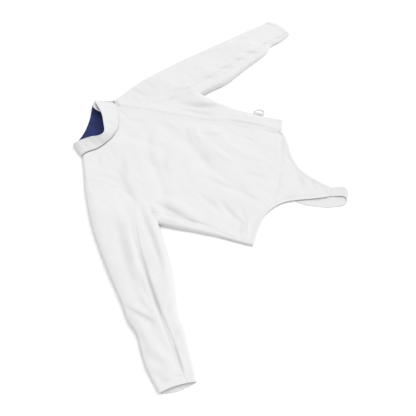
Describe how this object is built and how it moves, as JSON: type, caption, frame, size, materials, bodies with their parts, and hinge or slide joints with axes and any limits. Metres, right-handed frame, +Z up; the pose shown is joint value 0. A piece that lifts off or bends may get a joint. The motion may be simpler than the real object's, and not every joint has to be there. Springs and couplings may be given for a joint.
{
  "type": "fencing jacket",
  "caption": "White stand-collar fencing jacket laid front up, with two-piece sleeves, side-front fly, tapering front tail, elastic crotch strap and a small side ring.",
  "frame": {"origin": "middle of the bounding box at the surface the jacket lies on", "axes": "+Z up out of the front, +Y from the hem towards the collar, +X towards the wearer's left sleeve"},
  "size_m": [1.4456, 0.9173, 0.0543],
  "materials": {
    "jacket_cotton": "matte woven cotton",
    "collar_cotton": "matte woven cotton",
    "collar_lining": "soft blue lining",
    "strap_elastic": "ribbed woven elastic",
    "ring_webbing": "woven webbing",
    "ring_steel": "nickel-plated wire"
  },
  "bodies": {
    "jacket": {"front": "jacket_cotton", "front_left": "jacket_cotton", "back": "jacket_cotton", "right_top_sleeve": "jacket_cotton", "right_under_sleeve": "jacket_cotton", "left_top_sleeve": "jacket_cotton", "left_under_sleeve": "jacket_cotton", "collar": "collar_cotton", "collar_lining": "collar_lining", "neck_facing": "collar_lining", "crotch_strap": "strap_elastic", "ring_tab": "ring_webbing"},
    "ring": {"d_ring": "ring_steel"}
  },
  "joints": [
    {"name": "ring_hinge", "type": "hinge", "parent": "jacket", "child": "ring", "pos_m": [0.2425, -0.1214, 0.0046], "axis": [0, -1, 0], "range_deg": [0, 110]}
  ]
}
